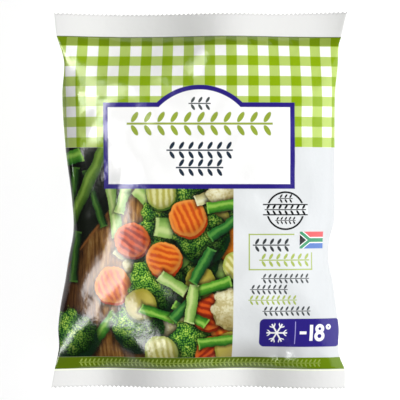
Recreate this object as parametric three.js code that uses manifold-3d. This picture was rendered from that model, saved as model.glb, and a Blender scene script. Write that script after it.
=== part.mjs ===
// A bag of frozen vegetables: a tube of printed film, filled, and closed by a flat seal at each end with a
// serrated cut edge. It lies on its back, so that its printed front faces up. A lap seam runs down the back.
// Millimetres, +Z up, +Y towards the bag's top edge, origin on the floor under the middle of the bag.

import * as THREE from "three";
import { mergeVertices } from "three/addons/utils/BufferGeometryUtils.js";
import Module from "manifold-3d";

// Driving sizes
const bagWidth = 260; // across the corners of the seals, which is the width of the empty film tube
const bagLength = 330.8; // from one serrated edge to the other
const topSealLine = 143.9; // where the filled body starts, measured up from the middle
const bottomSealLine = -147.5;
const crownHeight = 34; // how far the front swells above the height of the sides
const sideHeight = 23; // height of the widest line of the body above the floor
const backDepth = 32; // how far the back would hang below the sides if the floor didn't stop it
const topSealHeight = 17; // height of the top seal above the floor
const bottomSealHeight = 15;
const filmPair = 0.7; // two layers of film, welded
const seamWidth = 12; // lap seam down the back
const seamThickness = 0.6;
const seamSunk = 0.45; // how deep it is sunk into the back
const toothPitch = 3.8; // serrated cut of both ends
const toothDepth = 2;

// How full the swell is. Along and across, it is (1 - t^power)^fullness, with t from 0 in the middle to 1.
const frontSwell = { alongPower: 2.5, alongFullness: 0.62, acrossPower: 3.2 };
const backSwell = { alongPower: 3.2, alongFullness: 0.8, acrossPower: 3 };
const sideFullness = 0.52; // round sides in the middle of the bag
const foldFullness = 1; // sharp side folds next to the seals
const foldReach = 34; // how far the sharp folds reach into the body
const bodyRise = [-4, 62]; // from the seal line, where the sides rise from the seal's height to sideHeight
const floorRoundness = 4; // how softly the back comes down on the floor

// Waves of the two seals: [height, wavelength / 2 pi, where it crosses]
const topWaves = [[-11, 26.4, 66], [0.9, 11.5, 0]];
const bottomWaves = [[-9.5, 19.5, 8], [0.8, 9.5, -9.5]];
const sealDrop = 0.12; // how much a seal hangs for each millimetre away from the body

// Pleats next to the seals, and bulges of the pieces inside
const pleatHeight = 1.1;
const pleatSpacing = 6.1; // wavelength / 2 pi
const pleatDrift = 31; // the same, of the drift of the spacing
const pleatRise = 7; // they grow within this length of the seal line
const pleatReach = 20; // and fade within this one
const pleatMeeting = 420; // they lean towards a point this far inside
const bulgeHeight = 0.9;
const bulgeAcross = 8.3; // wavelength / 2 pi
const bulgeAlong = 9.1;

// The straight cut of the knife: the top one falls off to the left, the bottom one to the right.
const topCutFall = 2.2;
const topCutFrom = [10, 120];
const bottomCutLift = 1.1;
const knifeMargin = 6; // how far the knife reaches past the bag's sides
const knifeDepth = 12; // how much it would take off beyond the end
const knifeHeight = 60;
const knifeBelow = 10;
const weldDistance = 1e-4; // points closer than this are one point

// How finely the film is divided
const columns = 36;
const bodyRows = 40;
const sealRows = 3;

// The two side edges of the bag, seen from the front: [height up the bag, distance from the middle].
const leftEdge = [
  [-165.4, -130], [-147.5, -126.9], [-129, -123.2], [-112, -123.8], [-93, -121.8], [-70, -117.6],
  [-50, -114.5], [-25, -110.4], [5, -112.2], [47, -117.5], [92, -120.2], [119, -118.4],
  [130, -120.3], [143.9, -124.9], [165.4, -127.3],
];
const rightEdge = [
  [-165.4, 127.4], [-152, 128], [-147.5, 127.1], [-137, 122.8], [-126, 121.5], [-112, 121.9],
  [-93, 119.6], [-72, 116.9], [-50, 112.8], [-33, 114], [-18, 118], [20, 118.4],
  [92, 118.6], [119, 121.4], [136, 122.4], [143.9, 124.6], [165.4, 130],
];

// A smooth value through stations of [place, value]: cubic between two stations, with the slope at each
// one taken from its neighbours.
function through(stations, place) {
  const last = stations.length - 1;
  let k = 0;
  while (k < last - 1 && place > stations[k + 1][0]) k += 1;
  const slope = (i) => {
    const [p0, v0] = stations[Math.max(i - 1, 0)];
    const [p1, v1] = stations[Math.min(i + 1, last)];
    return (v1 - v0) / (p1 - p0);
  };
  const [p0, v0] = stations[k];
  const [p1, v1] = stations[k + 1];
  const span = p1 - p0;
  const u = THREE.MathUtils.clamp((place - p0) / span, 0, 1);
  const start = (1 + 2 * u) * (1 - u) ** 2 * v0 + u * (1 - u) ** 2 * span * slope(k);
  const end = u * u * (3 - 2 * u) * v1 - u * u * (1 - u) * span * slope(k + 1);
  return start + end;
}

// 0 at the floor of a dip and the value itself above it, with a round change between them.
function restedOnFloor(height) {
  if (height > floorRoundness) return height;
  if (height < -floorRoundness) return 0;
  return (height + floorRoundness) ** 2 / (4 * floorRoundness);
}

// How far a height up the bag is from the nearest seal line, into the body.
function intoBody(y) {
  return Math.min(topSealLine - y, y - bottomSealLine);
}

// The place across the bag, -1 at the left edge and 1 at the right one.
function across(x, y) {
  const left = through(leftEdge, y);
  const right = through(rightEdge, y);
  return THREE.MathUtils.clamp((2 * x - left - right) / (right - left), -1, 1);
}

// The swell of the body from seal to seal, 0 at both and 1 between them.
function swellAlong(y, power, fullness) {
  const middle = (topSealLine + bottomSealLine) / 2;
  const half = (topSealLine - bottomSealLine) / 2;
  const t = Math.min(Math.abs(y - middle) / half, 1);
  return (1 - t ** power) ** fullness;
}

// The swell from side to side. Near the seals the edge is a sharp fold, and further in it is round.
function swellAcross(x, y, power) {
  const folded = Math.exp(-Math.max(intoBody(y), 0) / foldReach);
  const fullness = THREE.MathUtils.lerp(sideFullness, foldFullness, folded);
  return (1 - Math.abs(across(x, y)) ** power) ** fullness;
}

function swell(x, y, shape) {
  return swellAlong(y, shape.alongPower, shape.alongFullness) * swellAcross(x, y, shape.acrossPower);
}

function waveHeight(waves, x) {
  return waves.reduce((sum, [height, length, start]) => sum + height * Math.sin((x - start) / length), 0);
}

// The height of the film's middle, between front and back. The seals wave gently and hang a little.
function middleHeight(x, y) {
  const atTop = y > 0;
  const wave = waveHeight(atTop ? topWaves : bottomWaves, x);
  const level = (atTop ? topSealHeight : bottomSealHeight) + wave;
  const seal = level - sealDrop * Math.max(-intoBody(y), 0);
  const body = THREE.MathUtils.smoothstep(intoBody(y), ...bodyRise);
  return THREE.MathUtils.lerp(seal, sideHeight, body);
}

// Pleats that run from each seal into the body, where the flat tube turns round, and fade out.
function pleats(x, y) {
  const inside = Math.max(intoBody(y), 0);
  const rise = 1 - Math.exp(-inside / pleatRise);
  const phase = y > 0 ? 0.4 : 2.1;
  const fan = x * (1 - inside / pleatMeeting);
  const wave = Math.sin(fan / pleatSpacing + phase + 1.4 * Math.sin(fan / pleatDrift + phase));
  return pleatHeight * rise * Math.exp(-inside / pleatReach) * wave;
}

// Low bulges of the pieces inside, with the film stretched over them: two crossed waves with drifting
// phases, and a slanted one of half the height.
function contents(x, y) {
  const u = x / bulgeAcross + 1.2 * Math.sin(y / 21 + 0.6);
  const v = y / bulgeAlong + 1.1 * Math.sin(x / 17.5 + 2.2);
  return bulgeHeight * (Math.sin(u) * Math.sin(v) + 0.5 * Math.sin(0.57 * u + 1.37 * v));
}

// Broad dents of the front and the waist: [x, y, half width across, half length along, depth].
const dents = [
  [-96, -22, 26, 48, 4.5],
  [-118, 27, 24, 26, 6],
  [112, -44, 20, 34, 4.5],
  [-40, 128, 46, 15, 2.2],
  [58, -132, 40, 13, 2.4],
  [104, 96, 15, 40, 2],
];

function dentDepth(x, y) {
  return dents.reduce((sum, [cx, cy, rx, ry, depth]) => {
    return sum + depth * Math.exp(-(((x - cx) / rx) ** 2) - ((y - cy) / ry) ** 2);
  }, 0);
}

// The front: what presses from inside and the pleats fade out where the body has no height of its own.
function frontHeight(x, y) {
  const rise = swell(x, y, frontSwell);
  const pressed = (contents(x, y) - dentDepth(x, y)) * rise ** 0.35 * Math.min(1, 3 * rise);
  const pleated = pleats(x, y) * (1 - Math.abs(across(x, y)) ** 8);
  return middleHeight(x, y) + filmPair / 2 + crownHeight * rise + pressed + pleated;
}

function backHeight(x, y) {
  const free = middleHeight(x, y) - filmPair / 2 - backDepth * swell(x, y, backSwell) - seamThickness;
  return seamThickness + restedOnFloor(free);
}

// Rows up the bag, closer together where the body leaves the seals.
function rowHeights() {
  const rows = [];
  const half = bagLength / 2;
  for (let i = 0; i < sealRows; i += 1) {
    rows.push(THREE.MathUtils.lerp(-half, bottomSealLine, i / sealRows));
  }
  for (let i = 0; i <= bodyRows; i += 1) {
    const u = i / bodyRows;
    const eased = 0.6 * u + 0.4 * (1 - Math.cos(Math.PI * u)) / 2;
    rows.push(THREE.MathUtils.lerp(bottomSealLine, topSealLine, eased));
  }
  for (let i = 1; i <= sealRows; i += 1) {
    rows.push(THREE.MathUtils.lerp(topSealLine, half, i / sealRows));
  }
  return rows;
}

// One closed loop of film round the bag at a height: along the front from left to right, and back.
function filmLoop(y) {
  const left = through(leftEdge, y);
  const right = through(rightEdge, y);
  const points = [];
  for (let i = 0; i < 2 * columns; i += 1) {
    const onFront = i <= columns;
    const u = onFront ? (2 * i) / columns - 1 : 3 - (2 * i) / columns;
    const s = 0.12 * u + 0.88 * Math.sin((Math.PI / 2) * u);
    const x = (left + right) / 2 + (s * (right - left)) / 2;
    const isEdge = i === 0 || i === columns;
    const height = isEdge ? middleHeight(x, y) : onFront ? frontHeight(x, y) : backHeight(x, y);
    points.push([x, y, height]);
  }
  return points;
}

// A closed skin over loops of points, with both ends filled across from front to back.
function skinOver(loops) {
  const count = loops[0].length;
  const half = count / 2;
  const index = [];
  for (let r = 0; r < loops.length - 1; r += 1) {
    for (let i = 0; i < count; i += 1) {
      const a = r * count + i;
      const b = r * count + ((i + 1) % count);
      index.push(a, b, b + count, a, b + count, a + count);
    }
  }
  const fillEnd = (base, outwards) => {
    for (let i = 0; i < half; i += 1) {
      const front = [base + i, base + i + 1];
      const back = [base + ((count - i) % count), base + count - i - 1];
      const faces = [];
      if (i < half - 1) faces.push([front[0], back[1], front[1]]);
      if (i > 0) faces.push([front[0], back[0], back[1]]);
      for (const [a, b, c] of faces) index.push(...(outwards ? [a, c, b] : [a, b, c]));
    }
  };
  fillEnd(0, false);
  fillEnd((loops.length - 1) * count, true);
  const geometry = new THREE.BufferGeometry();
  geometry.setAttribute("position", new THREE.Float32BufferAttribute(loops.flat(2), 3));
  geometry.setIndex(index);
  return geometry;
}

// The lap seam: a strip on the back that follows it from the lower edge to the upper one.
function seamStrip(rows) {
  const half = seamWidth / 2;
  const corners = [[-half, seamSunk], [half, seamSunk], [half, -seamThickness], [-half, -seamThickness]];
  return skinOver(rows.map((y) => corners.map(([x, into]) => [x, y, backHeight(x, y) + into])));
}

// The height of the knife's edge over the bag: sign is 1 at the top end and -1 at the bottom one.
function cutLine(x, sign) {
  if (sign > 0) return bagLength / 2 - topCutFall * (1 - THREE.MathUtils.smoothstep(x, ...topCutFrom));
  const reach = bagWidth / 2 + knifeMargin;
  return -bagLength / 2 + bottomCutLift * (1 - (x + reach) / (2 * reach));
}

// What the serrated knife takes off one end: a plate with a toothed side, standing across the seal.
function knife(sign) {
  const reach = bagWidth / 2 + knifeMargin;
  const teeth = Math.round((2 * reach) / toothPitch);
  const outside = sign * (bagLength / 2 + knifeDepth);
  const shape = new THREE.Shape();
  shape.moveTo(-reach, outside);
  for (let i = 0; i <= 2 * teeth; i += 1) {
    const x = -reach + (reach * i) / teeth;
    shape.lineTo(x, cutLine(x, sign) - (i % 2 ? sign * toothDepth : 0));
  }
  shape.lineTo(reach, outside);
  shape.closePath();
  const plate = new THREE.ExtrudeGeometry(shape, { depth: knifeHeight, bevelEnabled: false });
  return plate.translate(0, 0, -knifeBelow);
}

const wasm = await Module();
wasm.setup();

function solidFrom(geometry) {
  const bare = geometry.clone();
  bare.deleteAttribute("normal");
  bare.deleteAttribute("uv");
  const merged = mergeVertices(bare, weldDistance);
  return new wasm.Manifold(
    new wasm.Mesh({
      numProp: 3,
      vertProperties: merged.attributes.position.array,
      triVerts: new Uint32Array(merged.index.array),
    }),
  );
}

function geometryOf(solid) {
  const mesh = solid.getMesh();
  const geometry = new THREE.BufferGeometry();
  geometry.setAttribute("position", new THREE.BufferAttribute(mesh.vertProperties, 3));
  geometry.setIndex(new THREE.BufferAttribute(mesh.triVerts, 1));
  const faceted = geometry.toNonIndexed();
  faceted.computeVertexNormals();
  return faceted;
}

function makeBag() {
  const rows = rowHeights();
  const film = solidFrom(skinOver(rows.map(filmLoop)));
  const seam = solidFrom(seamStrip(rows));
  const solid = film.add(seam).subtract(solidFrom(knife(1))).subtract(solidFrom(knife(-1)));
  const printedFilm = new THREE.MeshStandardMaterial({ color: 0xdfe8cf, roughness: 0.35, metalness: 0 });
  const bag = new THREE.Mesh(geometryOf(solid), printedFilm);
  bag.name = "bag";
  return bag;
}

const part = new THREE.Group();
part.add(makeBag());

export default part;
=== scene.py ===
"""A bag of frozen vegetables in printed film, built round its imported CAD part, with its studio."""
import math

import bpy
import numpy as np
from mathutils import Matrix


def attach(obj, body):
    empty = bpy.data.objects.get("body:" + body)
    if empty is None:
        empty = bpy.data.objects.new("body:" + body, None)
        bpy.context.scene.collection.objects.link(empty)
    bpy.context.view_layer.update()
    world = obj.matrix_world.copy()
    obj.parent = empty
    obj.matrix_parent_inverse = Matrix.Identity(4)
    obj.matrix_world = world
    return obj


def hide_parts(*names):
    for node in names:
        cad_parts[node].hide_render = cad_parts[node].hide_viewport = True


bl_info = {
    "name": "Frozen Vegetable Bag",
    "version": (1, 0, 0),
    "blender": (4, 5, 0),
    "location": "3D View > Sidebar > Vegetable Bag",
    "description": "Makes a filled bag of printed film, and a plain studio for it",
    "category": "Add Mesh",
}

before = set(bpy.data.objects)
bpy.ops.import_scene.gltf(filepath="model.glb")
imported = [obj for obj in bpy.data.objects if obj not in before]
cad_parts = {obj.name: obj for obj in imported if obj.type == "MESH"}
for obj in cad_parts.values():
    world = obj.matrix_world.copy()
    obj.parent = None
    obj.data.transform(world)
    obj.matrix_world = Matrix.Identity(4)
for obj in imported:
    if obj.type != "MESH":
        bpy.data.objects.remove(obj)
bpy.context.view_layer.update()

MM = 0.001

# Sizes of the bag, in millimetres, as in its CAD part
BAG_WIDTH = 260
BAG_LENGTH = 330.8
TOP_SEAL_LINE = 143.9
BOTTOM_SEAL_LINE = -147.5
BODY_MIDDLE = (TOP_SEAL_LINE + BOTTOM_SEAL_LINE) / 2
BODY_HALF = (TOP_SEAL_LINE - BOTTOM_SEAL_LINE) / 2
CROWN_HEIGHT = 34
SIDE_HEIGHT = 23
BACK_DEPTH = 32
TOP_SEAL_HEIGHT = 17
BOTTOM_SEAL_HEIGHT = 15
FILM_PAIR = 0.7
SEAM_WIDTH = 12
SEAM_THICKNESS = 0.6
SEAM_SUNK = 0.3
TOOTH_DEPTH = 1.6
CURL = 0.9  # how far the cut edge bends down
FLOOR_ROUNDNESS = 4  # how gently the back turns into its flat rest

# How full the film is: the power along the bag, the fullness along it, and the power across it
FRONT_SWELL = (2.5, 0.62, 3.2)
BACK_SWELL = (3.2, 0.8, 3)
SIDE_FULLNESS = 0.52  # 0.5 is a half ellipse at the side, and 1 a sharp fold
SIDE_FOLD_REACH = 34

# The waves of each seal: [height, spacing over two pi, place of a still point]
TOP_WAVES = [[-11, 26.4, 66], [0.9, 11.5, 0]]
BOTTOM_WAVES = [[-9.5, 19.5, 8], [0.8, 9.5, -9.5]]

# Pleats out of each seal: height and how far they reach, for the broad ones and the fine ones
PLEAT_HEIGHT, PLEAT_REACH = 1.1, 20
GATHER_HEIGHT, GATHER_REACH = 0.22, 9

# The pieces inside press out by this much, and by less near the top of the bag
PIECES_HEIGHT = 0.9
EMPTY_SHARE = 0.65
EMPTY_FROM, EMPTY_TO = 85, 125

# The knife's cut: how far past the bag's length it goes at the top, and its falls and rises
TOP_OVERSHOOT = 1.3
TOP_FALL = 2.3
BOTTOM_RISE = 1.1

# The two side edges seen from the front: [height up the bag, distance from the middle]
LEFT_EDGE = [
    [-165.4, -130], [-147.5, -126.9], [-129, -123.2], [-112, -123.8], [-93, -121.8], [-70, -117.6],
    [-50, -114.5], [-25, -110.4], [5, -112.2], [47, -117.5], [92, -120.2], [119, -118.4],
    [130, -120.3], [143.9, -124.9], [165.4, -127.3],
]
RIGHT_EDGE = [
    [-165.4, 127.4], [-152, 128], [-147.5, 127.1], [-137, 122.8], [-126, 121.5], [-112, 121.9],
    [-93, 119.6], [-72, 116.9], [-50, 112.8], [-33, 114], [-18, 118], [20, 118.4],
    [92, 118.6], [119, 121.4], [136, 122.4], [143.9, 124.6], [165.4, 130],
]

# Broad dents of the front and the waist: [x, y, half width across, half length along, depth]
DENTS = [
    [-96, -22, 26, 48, 4.5],
    [-101, 23, 29, 31, 6.5],
    [112, -44, 20, 34, 4.5],
    [-40, 128, 46, 15, 2.2],
    [58, -132, 40, 13, 2.4],
    [104, 96, 15, 40, 2],
]

# Folds of the film: [x and y of one end, x and y of the other, height, half width]
FOLDS = [
    [-124, 143, -97, 133, 1.3, 3.0], [-108, 136, -103, 8, 0.9, 3.4],
    [123, 143, 104, 128, 1.0, 3.0], [43, 142, 50, 128, -0.8, 2.6],
    [61, 142, 70, 126, -0.9, 2.6], [80, 142, 86, 130, -0.7, 2.4],
    [-20, 142, -24, 131, -0.5, 2.6], [-126, -146, -100, -128, 1.0, 3.2],
    [126, -146, 101, -130, 1.1, 3.2], [-60, -146, -54, -134, 0.7, 2.6],
    [10, -146, 14, -136, -0.6, 2.6], [72, -146, 66, -133, -0.7, 2.6],
    [-112, -22, -86, -10, -0.8, 3.0], [-111, -38, -84, -40, -0.9, 3.0],
    [113, -46, 90, -38, -0.9, 2.8], [115, -60, 94, -64, -0.7, 2.8],
]

# How finely the film is divided: four front columns and two back columns to each tooth
TEETH = 68
COLUMNS_A_TOOTH = 4
FRONT_COLUMNS = TEETH * COLUMNS_A_TOOTH
BACK_COLUMNS = TEETH * 2
BODY_ROWS = 200
SEAL_ROWS = 14
SEAM_COLUMNS, SEAM_POINTS = 12, 220
TOOTH_FADE = (1, 0.55, 0.2)  # how much of the teeth the rows next to the cut follow

# Where the bake map's square holds the front, the back and the cut
BAKE_MARGIN = 2
BAKE_FRONT_SHARE = 0.78
BAKE_BACK_SHARE, BAKE_BACK_START = 0.2, 0.79
BAKE_CORNER = 0.995


def through(stations, place):
    """A smooth value through stations of [place, value]: cubic between two, sloped by the neighbours."""
    at, value = np.array(stations, float).T
    k = np.arange(len(at))
    after, before = np.minimum(k + 1, k[-1]), np.maximum(k - 1, 0)
    slope = (value[after] - value[before]) / (at[after] - at[before])
    k = np.clip(np.searchsorted(at, place) - 1, 0, len(at) - 2)
    span = at[k + 1] - at[k]
    u = np.clip((place - at[k]) / span, 0, 1)
    start = (1 + 2 * u) * (1 - u) ** 2 * value[k] + u * (1 - u) ** 2 * span * slope[k]
    end = u * u * (3 - 2 * u) * value[k + 1] - u * u * (1 - u) * span * slope[k + 1]
    return start + end


def smoothstep(value, low, high):
    """0 below low and 1 above high, with 3t^2 - 2t^3 between them."""
    t = np.clip((value - low) / (high - low), 0, 1)
    return t * t * (3 - 2 * t)


def into_body(y):
    """How far a height up the bag is from the nearest seal line, into the body."""
    return np.minimum(TOP_SEAL_LINE - y, y - BOTTOM_SEAL_LINE)


def across(x, y):
    """The place across the bag, -1 at the left edge and 1 at the right one."""
    left = through(LEFT_EDGE, y)
    right = through(RIGHT_EDGE, y)
    return np.clip((2 * x - left - right) / (right - left), -1, 1)


def swell(x, y, along_power, fullness, across_power):
    """1 - t^power, raised to a fullness, along the bag and again across it, where t goes from 0 in the
    middle to 1 at the border: the side is a sharp fold near the seals, and round further in."""
    along = np.minimum(np.abs(y - BODY_MIDDLE) / BODY_HALF, 1)
    folded = np.exp(-np.maximum(into_body(y), 0) / SIDE_FOLD_REACH)
    side_fullness = SIDE_FULLNESS + (1 - SIDE_FULLNESS) * folded
    sideways = (1 - np.abs(across(x, y)) ** across_power) ** side_fullness
    return (1 - along ** along_power) ** fullness * sideways


def wave_height(x, waves):
    """The sum of sines across the bag."""
    return sum(height * np.sin((x - still) / spacing) for height, spacing, still in waves)


def middle_height(x, y):
    """The height halfway between front and back: the seals' waves, sinking outwards, and a level body."""
    top = TOP_SEAL_HEIGHT + wave_height(x, TOP_WAVES)
    bottom = BOTTOM_SEAL_HEIGHT + wave_height(x, BOTTOM_WAVES)
    drop = 0.12 * np.maximum(-into_body(y), 0)
    seal = np.where(y > 0, top, bottom) - drop
    body = smoothstep(into_body(y), -4, 62)
    return seal + (SIDE_HEIGHT - seal) * body


def pleats(x, y):
    """Pleats that fan out of each seal: sines across the bag whose spacing drifts, fading into the body."""
    inside = np.maximum(into_body(y), 0)
    rise = 1 - np.exp(-inside / 7)
    phase = np.where(y > 0, 0.4, 2.1)
    fan = x * (1 - inside / 420)
    wave = np.sin(fan / 6.1 + phase + 1.4 * np.sin(fan / 31 + phase))
    gather = np.sin(fan / 2.3 + 2.2 * np.sin(fan / 17 + phase))
    broad = PLEAT_HEIGHT * np.exp(-inside / PLEAT_REACH) * wave
    fine = GATHER_HEIGHT * np.exp(-inside / GATHER_REACH) * gather
    return rise * (broad + fine)


def contents(x, y):
    """Low bulges of the pieces inside: a product of two sines with drifting phases, and a slanted one,
    fading where the bag is emptier."""
    u = x / 8.3 + 1.2 * np.sin(y / 21 + 0.6)
    v = y / 9.1 + 1.1 * np.sin(x / 17.5 + 2.2)
    bulges = PIECES_HEIGHT * (np.sin(u) * np.sin(v) + 0.5 * np.sin(0.57 * u + 1.37 * v))
    return bulges * (1 - EMPTY_SHARE * smoothstep(y, EMPTY_FROM, EMPTY_TO))


def dent_depth(x, y):
    """The sum of the dents, each a bell curve across and along."""
    depth = np.zeros_like(x)
    for cx, cy, rx, ry, deep in DENTS:
        depth += deep * np.exp(-((x - cx) / rx) ** 2 - ((y - cy) / ry) ** 2)
    return depth


def fold_height(x, y):
    """The sum of the folds: ridges and grooves along lines, e^(-distance / width) with a round top."""
    total = np.zeros_like(x)
    for x0, y0, x1, y1, height, width in FOLDS:
        length = math.hypot(x1 - x0, y1 - y0)
        along = ((x - x0) * (x1 - x0) + (y - y0) * (y1 - y0)) / length ** 2
        aside = ((x - x0) * (y1 - y0) - (y - y0) * (x1 - x0)) / length
        taper = smoothstep(along, -0.12, 0.15) * (1 - smoothstep(along, 0.6, 1.15))
        soft = np.sqrt(aside ** 2 + 0.8) - math.sqrt(0.8)
        total += height * taper * np.exp(-soft / width)
    return total


def front_height(x, y):
    """The front: the seal's height, the swell, what presses from inside and outside, and the pleats
    and folds, which fade at the side edges."""
    rise = swell(x, y, *FRONT_SWELL)
    give = rise ** 0.35 * np.minimum(1, 3 * rise)
    pressed = (contents(x, y) - dent_depth(x, y)) * give
    edge = 1 - np.abs(across(x, y)) ** 8
    creased = (pleats(x, y) + fold_height(x, y) * smoothstep(into_body(y), 0, 6)) * edge
    return middle_height(x, y) + FILM_PAIR / 2 + CROWN_HEIGHT * rise + pressed + creased


def back_height(x, y):
    """The back: the seal's height less the swell, pressed flat where it meets the floor."""
    free = middle_height(x, y) - FILM_PAIR / 2 - BACK_DEPTH * swell(x, y, *BACK_SWELL) - SEAM_THICKNESS
    near = (free + FLOOR_ROUNDNESS) ** 2 / (4 * FLOOR_ROUNDNESS)
    rested = np.where(free > FLOOR_ROUNDNESS, free, np.where(free < -FLOOR_ROUNDNESS, 0, near))
    return SEAM_THICKNESS + rested


def end_line(x, sign):
    """Where the knife cut the end: level on the left and rising to the right at the top, and a straight
    slant at the bottom."""
    half = BAG_LENGTH / 2
    reach = BAG_WIDTH / 2 + 6
    if sign > 0:
        return half + TOP_OVERSHOOT - TOP_FALL * (1 - smoothstep(x, 55, 130))
    return -half + BOTTOM_RISE * (1 - (x + reach) / (2 * reach))


def film_grid(columns):
    """x and y of one face, in rows from the lower to the upper end: rows crowd at the seals and columns at
    the body's sides, both by part of a sine, and the outer rows follow the cut and its teeth."""
    u = np.linspace(-1, 1, columns + 1)
    body = np.linspace(0, 1, BODY_ROWS + 1)
    eased = 0.7 * body + 0.3 * (1 - np.cos(np.pi * body)) / 2
    body_y = BOTTOM_SEAL_LINE + eased * (TOP_SEAL_LINE - BOTTOM_SEAL_LINE)
    outward = np.arange(1, SEAL_ROWS + 1) / SEAL_ROWS
    half = BAG_LENGTH / 2
    low_y = BOTTOM_SEAL_LINE + outward[::-1] * (-half - BOTTOM_SEAL_LINE)
    high_y = TOP_SEAL_LINE + outward * (half - TOP_SEAL_LINE)
    level = np.concatenate([low_y, body_y, high_y])[:, None]
    gather = smoothstep(into_body(level), 0, 40)
    s = u + (0.12 * u + 0.88 * np.sin(np.pi / 2 * u) - u) * gather
    left = through(LEFT_EDGE, level)
    right = through(RIGHT_EDGE, level)
    x = (left + right) / 2 + s * (right - left) / 2
    y = np.broadcast_to(level, x.shape).copy()
    column = np.arange(columns + 1) * (FRONT_COLUMNS // columns)
    tooth = TOOTH_DEPTH * (0.5 - 0.5 * np.cos(2 * np.pi * column / COLUMNS_A_TOOTH))
    lower = (-1, slice(0, SEAL_ROWS), BOTTOM_SEAL_LINE)
    upper = (1, slice(-SEAL_ROWS, None), TOP_SEAL_LINE)
    for sign, rows, line in (lower, upper):
        stretch = (y[rows] - line) / (sign * half - line)
        y[rows] = line + stretch * (end_line(x[rows], sign) - line)
    for row, share in enumerate(TOOTH_FADE):
        y[row] += share * tooth
        y[-1 - row] -= share * tooth
    return x, y


def film_face(columns, height):
    """x, y and z of one face, which meets the other at both side edges, with its cut ends bent down."""
    x, y = film_grid(columns)
    z = height(x, y)
    sides = np.s_[:, [0, -1]]
    z[sides] = middle_height(x[sides], y[sides])
    z[[0, -1]] -= CURL
    return x, y, z


def back_numbers(rows):
    """Point numbers of the back's grid, which follow the front's and share its two side columns."""
    number = np.empty((rows, BACK_COLUMNS + 1), int)
    number[:, 0] = np.arange(rows) * (FRONT_COLUMNS + 1)
    number[:, -1] = number[:, 0] + FRONT_COLUMNS
    after_front = rows * (FRONT_COLUMNS + 1)
    number[:, 1:-1] = after_front + np.arange(rows * (BACK_COLUMNS - 1)).reshape(rows, -1)
    return number


def cut_faces(number, row, flip):
    """The narrow faces that close the film's cut end, one for each back column."""
    step = FRONT_COLUMNS // BACK_COLUMNS
    front = row * (FRONT_COLUMNS + 1) + np.arange(FRONT_COLUMNS + 1)
    faces = []
    for k in range(BACK_COLUMNS):
        ahead = front[k * step:(k + 1) * step + 1].tolist()
        behind = [p for p in number[row, [k + 1, k]].tolist() if p not in ahead]
        loop = ahead + behind
        faces.append(loop if flip else loop[::-1])
    return faces


def unrolled(x, z):
    """Distance across the printed sheet: x, plus part of what the film climbs at the sides."""
    share = 0.45
    step = np.hypot(np.diff(x, axis=1), np.diff(z, axis=1)) - np.abs(np.diff(x, axis=1))
    climbed = np.cumsum(np.pad(step, ((0, 0), (1, 0))), axis=1)
    middle = climbed[:, [climbed.shape[1] // 2]]
    return x + share * (climbed - middle)


def flat_points(*parts):
    """Grids of coordinates as one list of points."""
    return np.stack(parts, -1).reshape(-1, len(parts))


def in_scene(name, data):
    """A new object in the scene."""
    item = bpy.data.objects.new(name, data)
    bpy.context.scene.collection.objects.link(item)
    return item


def mesh_object(name, points, faces, maps, material):
    """A smooth mesh from points in millimetres, faces of point numbers, and UV maps for each corner."""
    mesh = bpy.data.meshes.new(name)
    mesh.from_pydata((points * MM).tolist(), [], faces, shade_flat=False)
    for label, values in maps.items():
        layer = mesh.uv_layers.new(name=label)
        layer.data.foreach_set("uv", np.asarray(values, np.float32).ravel())
    mesh.set_sharp_from_angle(angle=math.radians(55))
    mesh.materials.append(material)
    mesh.update()
    return in_scene(name, mesh)


def quads(rows, columns):
    """Point numbers of a grid's squares."""
    number = np.arange(rows * columns).reshape(rows, columns)
    square = [number[:-1, :-1], number[:-1, 1:], number[1:, 1:], number[1:, :-1]]
    return np.stack(square, axis=-1).reshape(-1, 4)


def linear(hex_colour):
    """An sRGB hex colour as linear red, green, blue and alpha."""
    channels = [int(hex_colour[i:i + 2], 16) / 255 for i in (1, 3, 5)]
    return [c / 12.92 if c <= 0.04045 else ((c + 0.055) / 1.055) ** 2.4 for c in channels] + [1.0]


def add(tree, kind, *values, stops=None, **settings):
    """Adds a node of a kind, with its operation after a colon, and its settings. Values go to its inputs
    in order, and a socket is linked. Gives the output, or a list where there isn't just one."""
    kind, _, operation = kind.partition(":")
    node = tree.nodes.new("ShaderNode" + kind)
    if operation:
        node.operation = operation
    for name, value in {**USUAL.get(kind, {}), **settings}.items():
        setattr(node, name, value)
    if stops:
        ramp = node.color_ramp
        while len(ramp.elements) < len(stops):
            ramp.elements.new(1)
        for element, (position, colour) in zip(ramp.elements, stops):
            element.position = position
            element.color = linear(colour)
    for socket, value in zip([s for s in node.inputs if s.enabled], values):
        if isinstance(value, bpy.types.NodeSocket):
            tree.links.new(value, socket)
        elif isinstance(value, str):
            socket.default_value = linear(value)
        elif value is not None:
            socket.default_value = value
    outputs = [s for s in node.outputs if s.enabled]
    return outputs[0] if len(outputs) == 1 else outputs


# Kinds of node, and the settings that every node of a kind has here
MINUS, PLUS, TIMES, TIMES_PLUS = "Math:SUBTRACT", "Math:ADD", "Math:MULTIPLY", "Math:MULTIPLY_ADD"
LARGER, SMALLER, UNSIGNED, FOLDED = "Math:MAXIMUM", "Math:MINIMUM", "Math:ABSOLUTE", "Math:PINGPONG"
OFFSET, DOT, DISTANCE = "VectorMath:SUBTRACT", "VectorMath:DOT_PRODUCT", "VectorMath:DISTANCE"
SIZE, LENGTH, OVER = "VectorMath:ABSOLUTE", "VectorMath:LENGTH", "VectorMath:DIVIDE"
SHIFTED = "VectorMath:MULTIPLY_ADD"
RANGE, RAMP, MIX, JOIN = "MapRange", "ValToRGB", "Mix", "CombineXYZ"
NOISE, CELLS, GROUP = "TexNoise", "TexVoronoi", "Group"
USUAL = {
    "Mix": {"data_type": "RGBA"}, "TexNoise": {"noise_dimensions": "2D"},
    "TexVoronoi": {"voronoi_dimensions": "2D"},
}
ACROSS = (1, 0, 0)
UPWARDS = (0, 1, 0)
SHADOW = "#050905"
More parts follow.
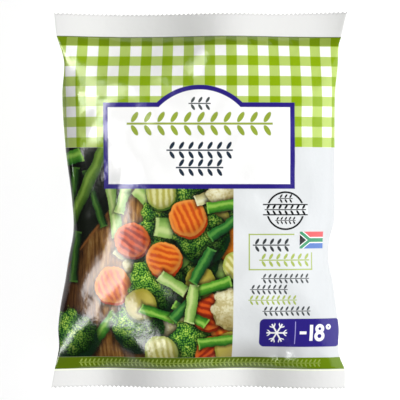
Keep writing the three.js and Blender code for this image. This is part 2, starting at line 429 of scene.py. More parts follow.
SOFT = 0.3  # half the width of a printed edge, in millimetres
FILM_IOR = 1.5
SEAL_DULLNESS = 0.79  # how much rougher the welded film is
BUCKLE_SPACING, SKIN_SPACING = 9.0, 1.1
RELIEF_HEIGHT, RELIEF_STRENGTH = 0.9, 0.35

# Lines between the fields of the print, in millimetres
FAR = 400
GINGHAM_FOOT = 46.2
PICTURE_RIGHT = 29.3
BAND_TOP = -136.9
LABEL_BORDER = 4.1

# Garlands in the place of words: [colour, x, y, leaves, length of a leaf's share]
PALE_LEAF = "#A3B45A"
LABEL_LINES = [
    ["#93A63C", 0, 66.5, 11, 11.5],
    ["#24303F", 0, 43.5, 7, 8.2],
    ["#24303F", 0, 28.5, 5, 8.2],
    ["#4A5050", 0, 84.0, 3, 6.4],
]
PANEL_LINES = [
    ["#3A3E40", 62, -38.5, 5, 6.4],
    [PALE_LEAF, 74, -51.5, 7, 6.4],
    ["#4A4E50", 74.6, -67.5, 9, 4.7],
    ["#4A4E50", 60, -77, 7, 4.7],
    [PALE_LEAF, 63.3, -86.2, 9, 4.7],
    ["#4A4E50", 75.6, -95.9, 9, 4.7],
]

# The thin frame on the panel: [left, right, low, high] of each line
PANEL_FRAME = [
    [42.4, 43.5, -60.2, -28.7], [42.4, 82.3, -29.8, -28.7],
    [98.2, 99.2, -60.2, -45], [42.4, 99.2, -60.2, -59.1],
]


class Artwork:
    """The print while it is laid down: its nodes, a point's place in millimetres, and the ink so far."""

    def __init__(self, tree):
        self.tree = tree
        self.place = add(tree, "UVMap", uv_map="print")
        self.x = add(tree, DOT, self.place, ACROSS)
        self.y = add(tree, DOT, self.place, UPWARDS)
        self.ink = None

    def cover(self, colour, mask, blend="MIX"):
        """Lays a colour over the ink so far, or multiplies the ink by it, where the mask is 1."""
        self.ink = add(self.tree, MIX, mask, self.ink, colour, blend_type=blend)


def ease(tree, value, low, high, start=0.0, end=1.0):
    """start where a value is at low, going over to end at high. A clamped Map Range gets a clamp node that
    Cycles compiles last, so all such values would wait on its small stack at once."""
    return add(tree, RANGE, value, low, high, start, end, interpolation_type="SMOOTHSTEP", clamp=False)


def inside(art, distance, soft=SOFT):
    """1 where a signed distance is below zero, with a soft edge."""
    return ease(art.tree, distance, soft, -soft)


def box_distance(art, x, y, half_width, half_height):
    """How far outside an upright box a point is: the larger of |x| - half width and |y| - half height."""
    size = add(art.tree, SIZE, add(art.tree, OFFSET, art.place, (x, y, 0)))
    past = add(art.tree, OFFSET, size, (half_width, half_height, 0))
    return add(art.tree, LARGER, add(art.tree, DOT, past, ACROSS), add(art.tree, DOT, past, UPWARDS))


def round_distance(art, x, y, radius):
    """How far outside a circle a point is."""
    return add(art.tree, MINUS, add(art.tree, DISTANCE, art.place, (x, y, 0)), radius)


def field(art, left, right, low, high):
    """1 between two upright and two level lines."""
    middle = ((left + right) / 2, (low + high) / 2)
    return inside(art, box_distance(art, *middle, (right - left) / 2, (high - low) / 2))


def box(art, colour, left, right, low, high):
    """A plain field of colour."""
    art.cover(colour, field(art, left, right, low, high))


def line_of(art, distance, half_width):
    """1 along the line where a distance is zero."""
    return inside(art, add(art.tree, MINUS, add(art.tree, UNSIGNED, distance), half_width), 0.25)


def gingham(art, white, single, double):
    """Checked cloth: bands across and up, each laid over white, and darker where two of them cross."""
    bands = []
    for value, middle, pitch, width in ((art.x, 9.0, 18.86, 9.2), (art.y, 50.6, 17.8, 8.6)):
        away = add(art.tree, FOLDED, add(art.tree, MINUS, value, middle), pitch / 2)
        bands.append(inside(art, add(art.tree, MINUS, away, width / 2)))
    either = add(art.tree, LARGER, *bands)
    both = add(art.tree, TIMES, *bands)
    cloth = add(art.tree, MIX, either, white, single)
    return add(art.tree, MIX, both, cloth, double)


SOCKET_KINDS = {
    "Ink": "Color", "Colour": "Color", "Skin": "Color", "Place": "Vector", "Centre": "Vector",
    "Crosswise": "Vector", "Lengthwise": "Vector", "Size": "Vector",
}


def group_of(name, *sockets):
    """A new node group that takes the ink so far and more inputs, and gives the ink back."""
    tree = bpy.data.node_groups.new(name, "ShaderNodeTree")
    tree.interface.new_socket("Ink", in_out="OUTPUT", socket_type="NodeSocketColor")
    for label in ("Ink", "Place", *sockets):
        kind = SOCKET_KINDS.get(label, "Float")
        tree.interface.new_socket(label, in_out="INPUT", socket_type="NodeSocket" + kind)
    return tree, list(tree.nodes.new("NodeGroupInput").outputs)[:-1]


def give_back(tree, ink):
    """Ends a node group with the ink that it gives back."""
    tree.links.new(ink, tree.nodes.new("NodeGroupOutput").inputs[0])
    return tree


def garland_group():
    """A level twig with leaves in pairs: one slanted oval, repeated along it and mirrored below it."""
    tree, (ink, place, centre, colour, half_length, leaf) = group_of(
        "leaf_garland", "Centre", "Colour", "Half Length", "Size"
    )
    local = add(tree, OFFSET, place, centre)
    px = add(tree, DOT, local, ACROSS)
    local = add(tree, OVER, local, leaf)
    lx = add(tree, DOT, local, ACROSS)
    ly = add(tree, DOT, local, UPWARDS)
    along = add(tree, "Math:WRAP", lx, 0.5, -0.5)
    up = add(tree, UNSIGNED, ly)
    from_middle = add(tree, OFFSET, add(tree, JOIN, along, up), (0.1, 0.5, 0))
    slant = math.radians(58)
    long_way = (math.cos(slant) / 0.46, math.sin(slant) / 0.46, 0)
    short_way = (-math.sin(slant) / 0.19, math.cos(slant) / 0.19, 0)
    sx = add(tree, DOT, from_middle, long_way)
    sy = add(tree, DOT, from_middle, short_way)
    size = add(tree, LENGTH, add(tree, JOIN, sx, sy))
    leaves = ease(tree, size, 1.08, 0.86)
    twig = ease(tree, up, 0.12, 0.04)
    shape = add(tree, LARGER, leaves, twig)
    past = add(tree, MINUS, add(tree, UNSIGNED, px), half_length)
    mask = add(tree, TIMES, shape, ease(tree, past, SOFT, -SOFT))
    return give_back(tree, add(tree, MIX, mask, ink, colour))


def garland(art, twig, colour, x, y, leaves, size):
    """Lays down a garland of an odd number of whole leaves, each as long as its share of the twig."""
    inputs = (art.place, (x, y, 0), colour, leaves * size / 2, (size,) * 3)
    art.ink = add(art.tree, GROUP, art.ink, *inputs, node_tree=twig)


def local_place(tree, place, centre, size):
    """A point's place in a circle of radius 1 about the centre."""
    return add(tree, OVER, add(tree, OFFSET, place, centre), size)


def blended(tree, value, low, high, below, above, share=1.0):
    """One colour where a value is past low, going over to the other where it is past high."""
    return add(tree, MIX, ease(tree, value, low, high, 0, share), below, above)


def under(tree, ink, local, side):
    """The rim of a thick piece seen below its face, and its soft shadow on what lies under it."""
    lower = add(tree, DISTANCE, local, (0.06, -0.13, 0))
    ink = blended(tree, lower, 1.32, 0.98, ink, SHADOW, 0.85)
    return blended(tree, lower, 1.02, 0.98, ink, side)


def slice_group(name, groove, ridge, skin, side):
    """A slice cut by a ridged blade: stripes of light and shade across it, and its skin by radius."""
    tree, (ink, place, centre, size, crosswise, ridges) = group_of(
        name, "Centre", "Size", "Crosswise", "Ridges"
    )
    local = local_place(tree, place, centre, size)
    ink = under(tree, ink, local, side)
    away = add(tree, LENGTH, local)
    py = add(tree, DOT, local, crosswise)
    wave = add(tree, "Math:SINE", add(tree, TIMES, py, ridges))
    face = blended(tree, wave, -0.9, 0.9, groove, ridge)
    face = blended(tree, away, 0.74, 0.95, face, skin, 0.85)
    lit = add(tree, DISTANCE, local, (-0.5, 0.6, 0))
    face = blended(tree, lit, 0.9, 1.9, face, SHADOW, 0.45)
    return give_back(tree, blended(tree, away, 1.03, 0.97, ink, face))


def floret_group(name, side, dark, light):
    """A head of broccoli or cauliflower: a round outline that dips between its lobes, lit at one side."""
    tree, (ink, place, centre, size, lobes, skin) = group_of(name, "Centre", "Size", "Lobes", "Skin")
    local = local_place(tree, place, centre, size)
    ink = under(tree, ink, local, side)
    away = add(tree, LENGTH, local)
    outline = add(tree, TIMES_PLUS, lobes, 0.42, away)
    lit = add(tree, DISTANCE, local, (-0.35, 0.4, 0))
    shade = blended(tree, lit, 0.2, 1.4, light, dark)
    face = add(tree, MIX, 1.0, skin, shade, blend_type="MULTIPLY")
    return give_back(tree, blended(tree, outline, 1.16, 1.08, ink, face))


def stick_group(name, dark, mid, light):
    """A cut bean or stalk: a bar shaded across like a rod, paler at its cut ends, on a soft shadow."""
    tree, (ink, place, centre, size, crosswise, lengthwise, share) = group_of(
        name, "Centre", "Size", "Crosswise", "Lengthwise", "Share"
    )
    local = local_place(tree, place, centre, size)
    px = add(tree, DOT, local, lengthwise)
    py = add(tree, DOT, local, crosswise)
    past = add(tree, MINUS, add(tree, UNSIGNED, px), share)
    away = add(tree, LARGER, add(tree, UNSIGNED, py), past)
    ink = blended(tree, away, 1.9, 0.9, ink, SHADOW, 0.8)
    face = blended(tree, py, -1.0, -0.1, dark, mid)
    ridge = add(tree, UNSIGNED, add(tree, MINUS, py, 0.3))
    face = blended(tree, ridge, 0.5, 0.05, face, light)
    face = blended(tree, past, 0.55, 0.8, face, light, 0.8)
    return give_back(tree, blended(tree, away, 1.08, 0.92, ink, face))


# The slices: [group's name, groove, ridge, skin, side]
SLICES = {
    "c": ["carrot_slice", "#D8541E", "#FF8C30", "#FFA24E", "#A8360E"],
    "d": ["deep_carrot_slice", "#A02C12", "#E2581E", "#F07A34", "#7C200A"],
    "o": ["bright_carrot_slice", "#F07A1C", "#FF9A2C", "#FFA83C", "#B8460E"],
    "k": ["courgette_slice", "#C2BA62", "#EEEAB0", "#A8B450", "#40601E"],
    "y": ["olive_courgette_slice", "#A89636", "#D4C468", "#A6A03C", "#4A5A1A"],
}
RIDGE_PITCH = 5.2
RIDGED = "cdk"
SLICE_SIZE = 14.5

# The heads: [group's name, side, dark, light], their half width and their stalk
HEADS = {
    "b": ["broccoli_floret", "#0C2A16", "#244A30", "#FFFFDC"],
    "f": ["cauliflower_floret", "#8A7C50", "#B4A880", "#FFFFFF"],
}
HEAD_SIZE = {"b": 20.5, "f": 15}
HEAD_STALK = {"b": "pale_pod", "f": "cream_stalk"}

# The beans, pods and stalks: [group's name, dark, mid, light]
STICKS = {
    "bean": ["green_bean", "#22601E", "#52982E", "#9ACC5A"],
    "deep_bean": ["deep_green_bean", "#123A20", "#2A6E30", "#5C9E48"],
    "dark_pod": ["dark_pod", "#0E2410", "#2A561E", "#4E7E30"],
    "leafy_pod": ["leafy_pod", "#2C4C14", "#587E28", "#8AAE48"],
    "pale_pod": ["pale_pod", "#6E9A44", "#A4C870", "#D4E6A0"],
    "cream_stalk": ["cream_stalk", "#A89C6A", "#DED6AA", "#F6F2D8"],
}

# The pile row by row from its top: b broccoli, f cauliflower, c, d and o carrot, k and y courgette
PILE = ["..kbdf", "..bcyb", ".dbkbo", ".fcbfk", "ckboyb", ".ybkdf", ".bdfbc", "..kbdy"]
PILE_LEFT = -78
PILE_TOP = 6
PILE_PITCH = (20.5, 19.5)
PILE_BEANS = 10

# How late each kind is laid on the pile, added to a random number from 0 to 1
LIFT = {"b": 0.0, "f": 0.25, "c": 0.2, "d": 0.1, "o": 0.5, "k": 0.35, "y": 0.3}

# Pieces beside the pile: [kind, x, y, half width, turn in radians, half length]
BESIDE = [
    ["dark_pod", -113, 0, 4.2, 1.45, 30],
    ["dark_pod", -92, 2, 3.6, 1.9, 26],
    ["leafy_pod", -99, 14, 5.4, 1.1, 42],
    ["bean", -112, 38, 5.5, 0.3, 9],
    ["pale_pod", -74, -8, 4.6, 1.72, 24],
    ["pale_pod", -65, 4, 4.2, 1.25, 16],
    ["dark_pod", -110, -48, 4.0, 1.5, 22],
    ["bean", -84, -112, 4.2, 0.95, 17],
]


class Pile:
    """The picture's pieces while they are laid: their node groups and the place they are drawn at."""

    def __init__(self, tree, ink, place, lobes, skins):
        self.tree, self.ink, self.place = tree, ink, place
        self.lobes, self.skins = lobes, skins
        makers = [(slice_group, SLICES), (floret_group, HEADS), (stick_group, STICKS)]
        self.groups = {kind: make(*look) for make, looks in makers for kind, look in looks.items()}

    def lay(self, kind, x, y, size, *inputs):
        """Lays one piece over the ink so far."""
        inputs = (self.place, (x, y, 0), (size,) * 3, *inputs)
        self.ink = add(self.tree, GROUP, self.ink, *inputs, node_tree=self.groups[kind])

    def slice(self, kind, x, y, size, turn):
        """A slice, whose ridges keep their width whatever its size."""
        ridges = 2 * math.pi / RIDGE_PITCH * size if kind in RIDGED else 1.2
        self.lay(kind, x, y, size, (-math.sin(turn), math.cos(turn), 0), ridges)

    def stick(self, kind, x, y, half_width, turn, half_length):
        """A bean, pod or stalk, turned from level."""
        crosswise = (-math.sin(turn), math.cos(turn), 0)
        lengthwise = (math.cos(turn), math.sin(turn), 0)
        self.lay(kind, x, y, half_width, crosswise, lengthwise, half_length / half_width - 1)

    def head(self, kind, x, y, scale, turn):
        """A head over its stalk, which shows past its rim."""
        size = HEAD_SIZE[kind] * scale
        stalk_x = x + size * math.cos(turn)
        stalk_y = y + size * math.sin(turn)
        self.stick(HEAD_STALK[kind], stalk_x, stalk_y, size * 0.34, turn, size * 0.72)
        self.lay(kind, x, y, size, self.lobes, self.skins[kind])


def head_skins(tree, place):
    """Lobes 8 mm apart, and the skins of both kinds of head: buds 1.7 mm apart on the green one, and
    soft curds on the white one."""
    lobes = add(tree, CELLS, place, 1 / 8.0, feature="SMOOTH_F1")[0]
    buds = add(tree, CELLS, place, 1 / 1.7)[0]
    heads = add(tree, TIMES_PLUS, lobes, 0.75, buds)
    greens = [(0.12, "#FAFFB4"), (0.36, "#BCE268"), (0.62, "#5CA044"), (1.0, "#184C2C")]
    leafy = add(tree, RAMP, heads, stops=greens)[0]
    curd = add(tree, NOISE, place, 0.45, 3.0)[0]
    curds = add(tree, TIMES_PLUS, lobes, 0.7, curd)
    creams = [(0.4, "#FFFAEA"), (0.7, "#F4EACB"), (1.0, "#D2C294")]
    return lobes, {"b": leafy, "f": add(tree, RAMP, curds, stops=creams)[0]}


def wooden_board(art):
    """A dark ground, and over it a board with its grain, darker at the left, that ends in a paler rim."""
    tree = art.tree
    grain_place = add(tree, "Mapping", art.place, None, (0, 0, math.radians(-28)), (0.28, 0.03, 1))
    grain = add(tree, NOISE, grain_place, 1.0, 6.0, 0.7)[0]
    shades = [(0.28, "#4E2C10"), (0.45, "#8A5A28"), (0.6, "#BC8646"), (0.75, "#E0B87C")]
    wood = add(tree, RAMP, grain, stops=shades)[0]
    shaded = add(tree, MINUS, 1, ease(tree, art.x, -122, -62))
    wood = add(tree, MIX, shaded, wood, "#6A564A", blend_type="MULTIPLY")
    board = add(tree, DOT, art.place, (0.77, -0.64, 0))
    ink = add(tree, MIX, ease(tree, board, -56.6, -55.2), "#0E150B", wood)
    rim = line_of(art, add(tree, PLUS, board, 54.4), 0.8)
    return add(tree, MIX, rim, ink, "#8A5426")


def vegetables(art):
    """The picture: a wooden board on a dark ground, pods beside it, and a pile of cut vegetables on it."""
    tree = art.tree
    sway = add(tree, OFFSET, add(tree, NOISE, art.place, 0.07, 2.0)[1], (0.5, 0.5, 0.5))
    warped = add(tree, SHIFTED, sway, (4.0, 4.0, 0), art.place)
    lobes, skins = head_skins(tree, warped)
    ink = wooden_board(art)
    waver = add(tree, NOISE, warped, 0.55, 1.0)[1]
    place = add(tree, SHIFTED, waver, (0.9, 0.9, 0), warped)
    pile = Pile(tree, ink, place, lobes, skins)
    for piece in BESIDE:
        pile.stick(*piece)
    pile.head("b", -113, -116, 1.1, -2.0)
    draw = np.random.RandomState(7)
    drawn = []
    for row, kinds in enumerate(PILE):
        for column, kind in enumerate(kinds):
            jitter = draw.uniform(-4.5, 4.5, 2)
            x = PILE_LEFT + column * PILE_PITCH[0] + (row % 2) * 7 + jitter[0]
            y = PILE_TOP - row * PILE_PITCH[1] + jitter[1]
            if kind != ".":
                layer = LIFT[kind] + draw.uniform()
                drawn.append((layer, kind, x, y, draw.uniform(0.88, 1.18), draw.uniform(0, 2 * math.pi)))
    for _, kind, x, y, scale, turn in sorted(drawn):
        if kind in HEADS:
            pile.head(kind, x, y, scale, turn)
        else:
            pile.slice(kind, x, y, SLICE_SIZE * scale, turn)
    for number in range(PILE_BEANS):
        x = draw.uniform(-62, 24)
        y = draw.uniform(-130, 2)
        half_length = draw.uniform(13, 18)
        half_width = draw.uniform(4.0, 4.8)
        kind = ("bean", "deep_bean", "bean", "pale_pod")[number % 4]
        pile.stick(kind, x, y, half_width, draw.uniform(0, math.pi), half_length)
    return pile.ink


def snowflake(art, colour, x, y, radius):
    """Six arms with two pairs of twigs each: the angle is folded into half a sixth, so one draws all."""
    tree = art.tree
    px = add(tree, MINUS, art.x, x)
    py = add(tree, MINUS, art.y, y)
    angle = add(tree, FOLDED, add(tree, "Math:ARCTAN2", py, px), math.pi / 6)
    square = add(tree, PLUS, add(tree, TIMES, px, px), add(tree, TIMES, py, py))
    reach = add(tree, "Math:SQRT", square)
    along = add(tree, TIMES, reach, add(tree, "Math:COSINE", angle))
    aside = add(tree, TIMES, reach, add(tree, "Math:SINE", angle))
    arm = add(tree, MINUS, aside, 0.075 * radius)
    slant = add(tree, MINUS, along, aside)
    twig = add(tree, MINUS, add(tree, FOLDED, slant, 0.3 * radius), 0.075 * radius)
    short = add(tree, MINUS, aside, 0.3 * radius)
    near = add(tree, MINUS, 0.35 * radius, along)
    twig = add(tree, LARGER, add(tree, LARGER, twig, short), near)
    shape = add(tree, SMALLER, arm, twig)
    shape = add(tree, LARGER, shape, add(tree, MINUS, along, radius))
    art.cover(colour, inside(art, shape, 0.25))


def numerals(art, colour, x, y, height):
    """A minus sign, a one, an eight and a degree ring, from bars and rings."""
    tree = art.tree
    half = height / 2
    stroke = height * 0.1
    minus = box_distance(art, x, y, half * 0.42, stroke * 0.9)
    one = box_distance(art, x + height * 0.52, y, stroke, half)
    upper = round_distance(art, x + height * 1.05, y + half * 0.5, half * 0.38)
    lower = round_distance(art, x + height * 1.05, y - half * 0.42, half * 0.46)
    degree = round_distance(art, x + height * 1.62, y + half * 0.72, half * 0.22)
    shape = add(tree, SMALLER, minus, one)
    for ring, thick in ((upper, stroke), (lower, stroke), (degree, stroke * 0.6)):
        line = add(tree, MINUS, add(tree, UNSIGNED, ring), thick)
        shape = add(tree, SMALLER, shape, line)
    art.cover(colour, inside(art, shape, 0.25))


def plaque(art, blue, white):
    """A white label with a blue border: a box joined to a round arch, and again smaller by the border."""
    label = box_distance(art, -0.6, 47.6, 83.3, 37.4)
    arch = round_distance(art, 0, 47.7, 52.6)
    below = add(art.tree, MINUS, 50, art.y)
    arch = add(art.tree, LARGER, arch, below)
    outer = add(art.tree, SMALLER, label, arch)
    art.cover(blue, inside(art, outer))
    art.cover(white, inside(art, add(art.tree, PLUS, outer, LABEL_BORDER)))


def stamp(art, twig, black, paper):
    """A ring broken by a band between two lines, with garlands along the band, over it and under it."""
    ring = round_distance(art, 74.4, -8.75, 16.0)
    art.cover(black, line_of(art, ring, 0.8))
    box(art, paper, 54.5, 94.5, -13.4, -2.3)
    for y in (-3.4, -12.25):
        box(art, black, 54.8, 94.2, y - 0.55, y + 0.55)
    garland(art, twig, black, 74.5, -7.85, 7, 5.2)
    garland(art, twig, black, 74.4, 1.8, 3, 4.2)
    garland(art, twig, black, 74.4, -17.2, 5, 3.6)


def flag(art):
    """A small flag in plain fields: red over blue, a green Y edged in white, and a black hoist."""
    tree = art.tree
    left, right, low, high = 87.2, 109.8, -41.6, -26.9
    middle = (low + high) / 2
    # The red and the blue are paler than a flag's inks: partly print, partly painted highlight of the
    # film's sheen over the flag
    box(art, "#DA5C60", left, right, middle, high)
    box(art, "#5A7CBE", left, right, low, middle)
    px = add(tree, MINUS, art.x, left)
    py = add(tree, UNSIGNED, add(tree, MINUS, art.y, middle))
    past = add(tree, TIMES_PLUS, px, (middle - high) / 9.5, high - middle)
    centre = add(tree, LARGER, past, 0)
    away = add(tree, UNSIGNED, add(tree, MINUS, py, centre))
    cloth = field(art, left, right, low, high)
    hoist = inside(art, add(tree, MINUS, py, past))
    art.cover("#17181A", add(tree, TIMES, hoist, cloth))
    for colour, half in (("#FFFFFF", 2.6), ("#3E9068", 1.75)):
        band = inside(art, add(tree, MINUS, away, half))
        art.cover(colour, add(tree, TIMES, band, cloth))


def badge(art, blue, white):
    """A blue tab that runs to the bag's right edge: a box with round corners, a divider and two figures."""
    tree = art.tree
    core = add(tree, OFFSET, art.place, (88.5, -115.05, 0))
    past = add(tree, OFFSET, add(tree, SIZE, core), (31.8, 8.05, 0))
    past = add(tree, "VectorMath:MAXIMUM", past, (0, 0, 0))
    away = add(tree, MINUS, add(tree, LENGTH, past), 4.4)
    art.cover(blue, inside(art, away))
    box(art, "#A9A3DC", 83.3, 83.9, -124.8, -105.2)
    snowflake(art, white, 67.5, -115.05, 9)
    numerals(art, white, 90.5, -115.05, 14)


def sealed(art):
    """1 on the two welded seals, which lie beyond the seal lines."""
    away = add(art.tree, UNSIGNED, add(art.tree, MINUS, art.y, BODY_MIDDLE))
    return ease(art.tree, away, BODY_HALF - SOFT, BODY_HALF + SOFT)


def opaque(colour):
    """A style's colour as a socket takes it."""
    return [*colour, 1]


def print_colours(art, style):
    """The whole print in painter's order, from the film's own white to the smallest figures, with painted
    shade and painted highlight laid into it.
    """
    tree = art.tree
    twig = garland_group()
    paper = opaque(style.film_white)
    panel = opaque(style.panel_grey)
    blue = opaque(style.label_blue)
    art.ink = add(tree, "RGB")
    art.ink.default_value = paper
    cloth = gingham(art, paper, opaque(style.check_light), opaque(style.check_dark))
    art.cover(cloth, field(art, -FAR, FAR, GINGHAM_FOOT, TOP_SEAL_LINE))
    # Painted shade: the gingham's first row under the top seal is multiplied darker where the film turns
    # down into the seal
    art.cover("#C8CAB0", field(art, -FAR, FAR, TOP_SEAL_LINE - 8, TOP_SEAL_LINE + 0.6), "MULTIPLY")
    body = field(art, PICTURE_RIGHT, PICTURE_RIGHT + 100, BAND_TOP, GINGHAM_FOOT)
    # The panel goes darker towards the right: painted shade of the film's right flank
    art.cover(blended(tree, art.x, 50, 118, panel, "#CDD0D2"), body)
    picture = field(art, -160, PICTURE_RIGHT, BAND_TOP, GINGHAM_FOOT)
    art.cover(vegetables(art), picture)
    art.cover("#E6E9D8", picture, "MULTIPLY")
    box(art, opaque(style.band_green), -FAR, FAR, BOTTOM_SEAL_LINE, BAND_TOP)
    # Painted shade: the panel is darkened towards the bottom seal, where the film turns down
    low = ease(tree, art.y, -114, -140)
    middle = ease(tree, art.x, 112, 40)
    art.cover("#D4D2CF", add(tree, TIMES, low, middle), "MULTIPLY")
    plaque(art, blue, paper)
    for line in LABEL_LINES:
        garland(art, twig, *line)
    stamp(art, twig, "#16181A", panel)
    for sides in PANEL_FRAME:
        box(art, PALE_LEAF, *sides)
    for line in PANEL_LINES:
        garland(art, twig, *line)
    flag(art)
    badge(art, blue, paper)
    art.cover(opaque(style.seal_white), sealed(art))
    box(art, "#EEF4D8", -FAR, FAR, BOTTOM_SEAL_LINE - 1.3, BOTTOM_SEAL_LINE - 0.3)
    # A dark olive line just under the top seal line: painted shadow under the seal's edge
    box(art, "#5A6A20", -FAR, FAR, TOP_SEAL_LINE - 0.7, TOP_SEAL_LINE + 0.1)
    garland(art, twig, "#8CA046", 0, -141.9, 57, 3.8)
    return art.ink


def printed_film(style):
    """Printed polyethylene film: flat inks under a smooth skin, so its colours are strong and its
    highlights soft, with fine buckles where it was pulled over frozen pieces."""
    material = bpy.data.materials.new("printed_polyethylene_film")
    material.use_nodes = True
    tree = material.node_tree
    tree.nodes.clear()
    art = Artwork(tree)
    ink = print_colours(art, style)
    buckles = add(tree, NOISE, art.place, 1 / BUCKLE_SPACING, 3.0, 0.5)[0]
    skin = add(tree, NOISE, art.place, 1 / SKIN_SPACING, 2.0, 0.5)[0]
    relief = add(tree, TIMES_PLUS, skin, 0.04, buckles)
    bump = add(tree, "Bump", RELIEF_STRENGTH, RELIEF_HEIGHT * MM, None, relief)
    rough = add(tree, TIMES_PLUS, sealed(art), SEAL_DULLNESS, style.film_roughness)
    shader = add(tree, "BsdfPrincipled", ink, None, rough, FILM_IOR, None, bump)
    add(tree, "OutputMaterial", shader)
    return material


def matte_floor(style):
    """Matte white studio paper: no gloss, so only soft shade shows on it."""
    material = bpy.data.materials.new("matte_studio_paper")
    material.use_nodes = True
    shader = material.node_tree.nodes["Principled BSDF"]
    shader.inputs["Base Color"].default_value = opaque(style.floor_colour)
    shader.inputs["Roughness"].default_value = 1.0
    shader.inputs["Specular IOR Level"].default_value = 0.0
    return material


def colour_property(name, description, hex_colour):
    """A colour that a user can pick."""
    return bpy.props.FloatVectorProperty(
        name=name, description=description, default=linear(hex_colour)[:3], subtype="COLOR", min=0, max=1
    )


def number_property(name, description, default, highest=500, lowest=0, unit="NONE"):
    """A number that a user can set."""
    return bpy.props.FloatProperty(
        name=name, description=description, default=default, min=lowest, max=highest, unit=unit
    )


class BagStyle(bpy.types.PropertyGroup):
    """Colours and finish of the bag and its studio"""

    film_white: colour_property("Film White", "White ink of label and gingham", "#F8F8F7")
    seal_white: colour_property("Seal White", "Welded film without ink", "#D8D8D7")
    panel_grey: colour_property("Panel Grey", "Pale panel at the right", "#DEE1E2")
    check_light: colour_property("Check Light", "One band of the gingham", "#B5CC6A")
    check_dark: colour_property("Check Dark", "Two crossing bands", "#88A90A")
    band_green: colour_property("Band Green", "Band above the lower seal", "#64800A")
    label_blue: colour_property("Label Blue", "Border of the label and the tab", "#2B207C")
    floor_colour: colour_property("Floor", "Studio paper under the bag", "#F8F8F8")
    film_roughness: number_property("Film Roughness", "How soft the film's highlights are", 0.18, 1)
    camera_lens: number_property("Lens", "Focal length of the camera", 250, 500, 50, "CAMERA")
    field_width: number_property("Field", "Width seen at the bag's sides", 0.35, 2, 0.1, "LENGTH")
    fill_radiance: number_property("Fill", "Radiance of the room on matte surfaces", 0.12)
    gloss_radiance: number_property("Room Gloss", "Radiance of the room in the film's gloss", 0.05)
    key_radiance: number_property("Key", "Radiance of the lamp on the colours", 12.7)
    left_radiance: number_property("Left Strip", "Radiance of the strip at the left", 13)
    right_radiance: number_property("Right Panel", "Radiance of the panel at the right", 1.4)


class OBJECT_OT_bag_film(bpy.types.Operator):
    """Make the filled bag of printed film with its two serrated seals"""

    bl_idname = "vegetable_bag.film"
    bl_label = "Printed Film"

    def execute(self, context):
        front = film_face(FRONT_COLUMNS, front_height)
        back = film_face(BACK_COLUMNS, back_height)
        rows = len(front[0])
        number = back_numbers(rows)
        between = [grid[:, 1:-1] for grid in back]
        points = np.concatenate([flat_points(*front), flat_points(*between)])
        front_corners = quads(rows, FRONT_COLUMNS + 1)
        back_corners = quads(rows, BACK_COLUMNS + 1)[:, [0, 3, 2, 1]]
        faces = front_corners.tolist() + number.ravel()[back_corners].tolist()
        cut_print = []
        for row, flip in ((0, False), (rows - 1, True)):
            cut = cut_faces(number, row, flip)
            faces += cut
            cut_print += [(0.0, float(front[1][row, 0]))] * sum(map(len, cut))
        cut_bake = np.full((len(cut_print), 2), BAKE_CORNER)
        corners = np.concatenate([front_corners, back_corners + front[0].size]).ravel()
        maps = {
            "print": np.concatenate([self.print_places(front, back)[corners], cut_print]),
            "OFBake": np.concatenate([self.bake_places(front, back)[corners], cut_bake]),
        }
        piece = mesh_object("bag_film", points, faces, maps, printed_film(context.scene.bag_style))
        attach(piece, "root")
        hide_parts("bag")
        return {"FINISHED"}

    @staticmethod
    def print_places(front, back):
        """Places on the printed sheet, in millimetres: the back is what the tube has left at each side."""
        side = np.where(back[0] > 0, 1, -1)
        across_back = side * BAG_WIDTH - unrolled(back[0], back[2])
        across_front = unrolled(front[0], front[2])
        return np.concatenate([flat_points(across_front, front[1]), flat_points(across_back, back[1])])

    @staticmethod
    def bake_places(front, back):
        """Places in the square of the bake map: the front at its left, and the back beside it."""
        half = np.array([BAG_WIDTH / 2 + BAKE_MARGIN, BAG_LENGTH / 2 + BAKE_MARGIN])
        front_place, back_place = [(flat_points(*face[:2]) + half) / (2 * half) for face in (front, back)]
        back_place = back_place * [BAKE_BACK_SHARE, 1] + [BAKE_BACK_START, 0]
        return np.concatenate([front_place * [BAKE_FRONT_SHARE, 1], back_place])


class OBJECT_OT_bag_seam(bpy.types.Operator):
    """Make the lap seam that runs down the back of the bag"""

    bl_idname = "vegetable_bag.seam"
    bl_label = "Lap Seam"

    def execute(self, context):
        y = np.linspace(-BAG_LENGTH / 2 + 2, BAG_LENGTH / 2 - 3.4, SEAM_POINTS)[:, None]
        s = np.linspace(-1, 1, SEAM_COLUMNS + 1)[None, :]
        x = s * SEAM_WIDTH / 2 + 0.5 * np.sin(y / 40)
        y = np.broadcast_to(y, x.shape)
        skin = back_height(x, y)
        proud = skin - SEAM_THICKNESS * (1 - s ** 12)
        points = np.concatenate([flat_points(x, y, proud), flat_points(x, y, skin + SEAM_SUNK)])
        number = np.arange(x.size).reshape(x.shape)
        square = quads(*x.shape)
        faces = square[:, ::-1].tolist() + (square + x.size).tolist()
        rim = np.concatenate([number[0], number[1:, -1], number[-1, -2::-1], number[-2:0:-1, 0]])
        ahead = np.roll(rim, -1)
        faces += np.stack([ahead, ahead + x.size, rim + x.size, rim], -1).tolist()
        uv = points[[p for face in faces for p in face], :2]
        uv[:, 0] = BAG_WIDTH - uv[:, 0]
        film = bpy.data.materials["printed_polyethylene_film"]
        piece = mesh_object("lap_seam", points, faces, {"print": uv}, film)
        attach(piece, "root")
        return {"FINISHED"}


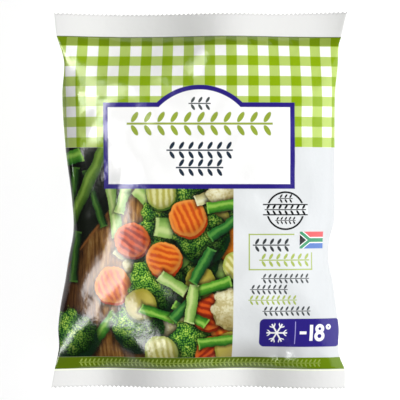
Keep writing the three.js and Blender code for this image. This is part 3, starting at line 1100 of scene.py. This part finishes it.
# The lamps: [name, lean right and up the bag, distance, aim, size, setting, share of it, lights the gloss]
LAMPS = [
    ["key", 34, 0, 4.4, (0, 0), (2.2, 2.8), "key_radiance", 1, False],
    ["left_fill", -72, 0, 4.4, (0, 0), (2.2, 2.8), "key_radiance", 0.08, False],
    ["left_strip", -35, 0, 1.3, (-0.09, -0.45), (0.42, 2.6), "left_radiance", 1, True],
    ["left_glow", -25, 0, 1.3, (-0.09, -0.45), (0.38, 2.6), "left_radiance", 0.2, True],
    ["corner_glow", -18, 42, 0.3, (-0.11, 0.1), (0.12, 0.2), "left_radiance", 0.5, True],
    ["right_panel", 74, 0, 1.1, (0.1, 0), (1.0, 2.2), "right_radiance", 1, True],
]
FLOOR_REACH = 6
SENSOR_WIDTH = 36
CAMERA_PLACE = (0.00035, 0.0005)  # over which point it stands


def area_light(name, lean, up, distance, aim, size, radiance, glossy):
    """A soft box aimed at a point on the bag, leaning to the right and up the bag. It lights either the
    matte colours or the gloss, casts no shadow, and the camera doesn't see it."""
    light = bpy.data.lights.new(name, "AREA")
    light.shape = "RECTANGLE"
    light.size, light.size_y = size
    light.energy = radiance * math.pi * size[0] * size[1]
    light.use_shadow = False
    lamp = in_scene(name, light)
    lean, up = math.radians(lean), math.radians(up)
    lamp.rotation_euler = (-up, lean, 0)
    away = distance * math.cos(up)
    lamp.location = (
        aim[0] + away * math.sin(lean),
        aim[1] + distance * math.sin(up),
        CROWN_HEIGHT * MM + away * math.cos(lean),
    )
    lamp.visible_camera = False
    lamp.visible_diffuse = not glossy
    lamp.visible_glossy = glossy


class OBJECT_OT_bag_stage(bpy.types.Operator):
    """Make the floor, the soft lights and the camera that looks down on the bag"""

    bl_idname = "vegetable_bag.stage"
    bl_label = "Studio"

    def execute(self, context):
        scene = context.scene
        style = scene.bag_style
        corners = [(FLOOR_REACH * x, FLOOR_REACH * y, 0) for x, y in ((-1, -1), (1, -1), (1, 1), (-1, 1))]
        paper = bpy.data.meshes.new("studio_floor")
        paper.from_pydata(corners, [], [(0, 1, 2, 3)])
        paper.materials.append(matte_floor(style))
        in_scene("studio_floor", paper)
        world = bpy.data.worlds.new("studio")
        world.use_nodes = True
        room = world.node_tree
        background = room.nodes["Background"]
        background.inputs["Color"].default_value = (1, 1, 1, 1)
        ray = room.nodes.new("ShaderNodeLightPath").outputs["Is Glossy Ray"]
        fill = add(room, RANGE, ray, 0, 1, style.fill_radiance, style.gloss_radiance)
        room.links.new(fill, background.inputs["Strength"])
        scene.world = world
        for *lamp, setting, share, glossy in LAMPS:
            area_light(*lamp, getattr(style, setting) * share, glossy)
        lens = bpy.data.cameras.new("camera")
        lens.lens = style.camera_lens
        lens.sensor_width = SENSOR_WIDTH
        lens.clip_end = 50
        camera = in_scene("camera", lens)
        distance = style.field_width * style.camera_lens / lens.sensor_width
        camera.location = (*CAMERA_PLACE, SIDE_HEIGHT * MM + distance)
        scene.camera = camera
        scene.view_settings.view_transform = "Standard"
        return {"FINISHED"}


class VIEW3D_PT_vegetable_bag(bpy.types.Panel):
    """The steps that make the bag, in order"""

    bl_label = "Frozen Vegetable Bag"
    bl_idname = "VIEW3D_PT_vegetable_bag"
    bl_space_type = "VIEW_3D"
    bl_region_type = "UI"
    bl_category = "Vegetable Bag"

    def draw(self, context):
        for step in STEPS:
            self.layout.operator(step.bl_idname)
        for name in BagStyle.__annotations__:
            self.layout.prop(context.scene.bag_style, name)


STEPS = (OBJECT_OT_bag_film, OBJECT_OT_bag_seam, OBJECT_OT_bag_stage)
CLASSES = (BagStyle, *STEPS, VIEW3D_PT_vegetable_bag)


def register():
    for cls in CLASSES:
        bpy.utils.register_class(cls)
    bpy.types.Scene.bag_style = bpy.props.PointerProperty(type=BagStyle)


def unregister():
    del bpy.types.Scene.bag_style
    for cls in reversed(CLASSES):
        bpy.utils.unregister_class(cls)


def main():
    register()
    bpy.ops.vegetable_bag.film()
    bpy.ops.vegetable_bag.seam()
    bpy.ops.vegetable_bag.stage()


if __name__ == "__main__":
    main()
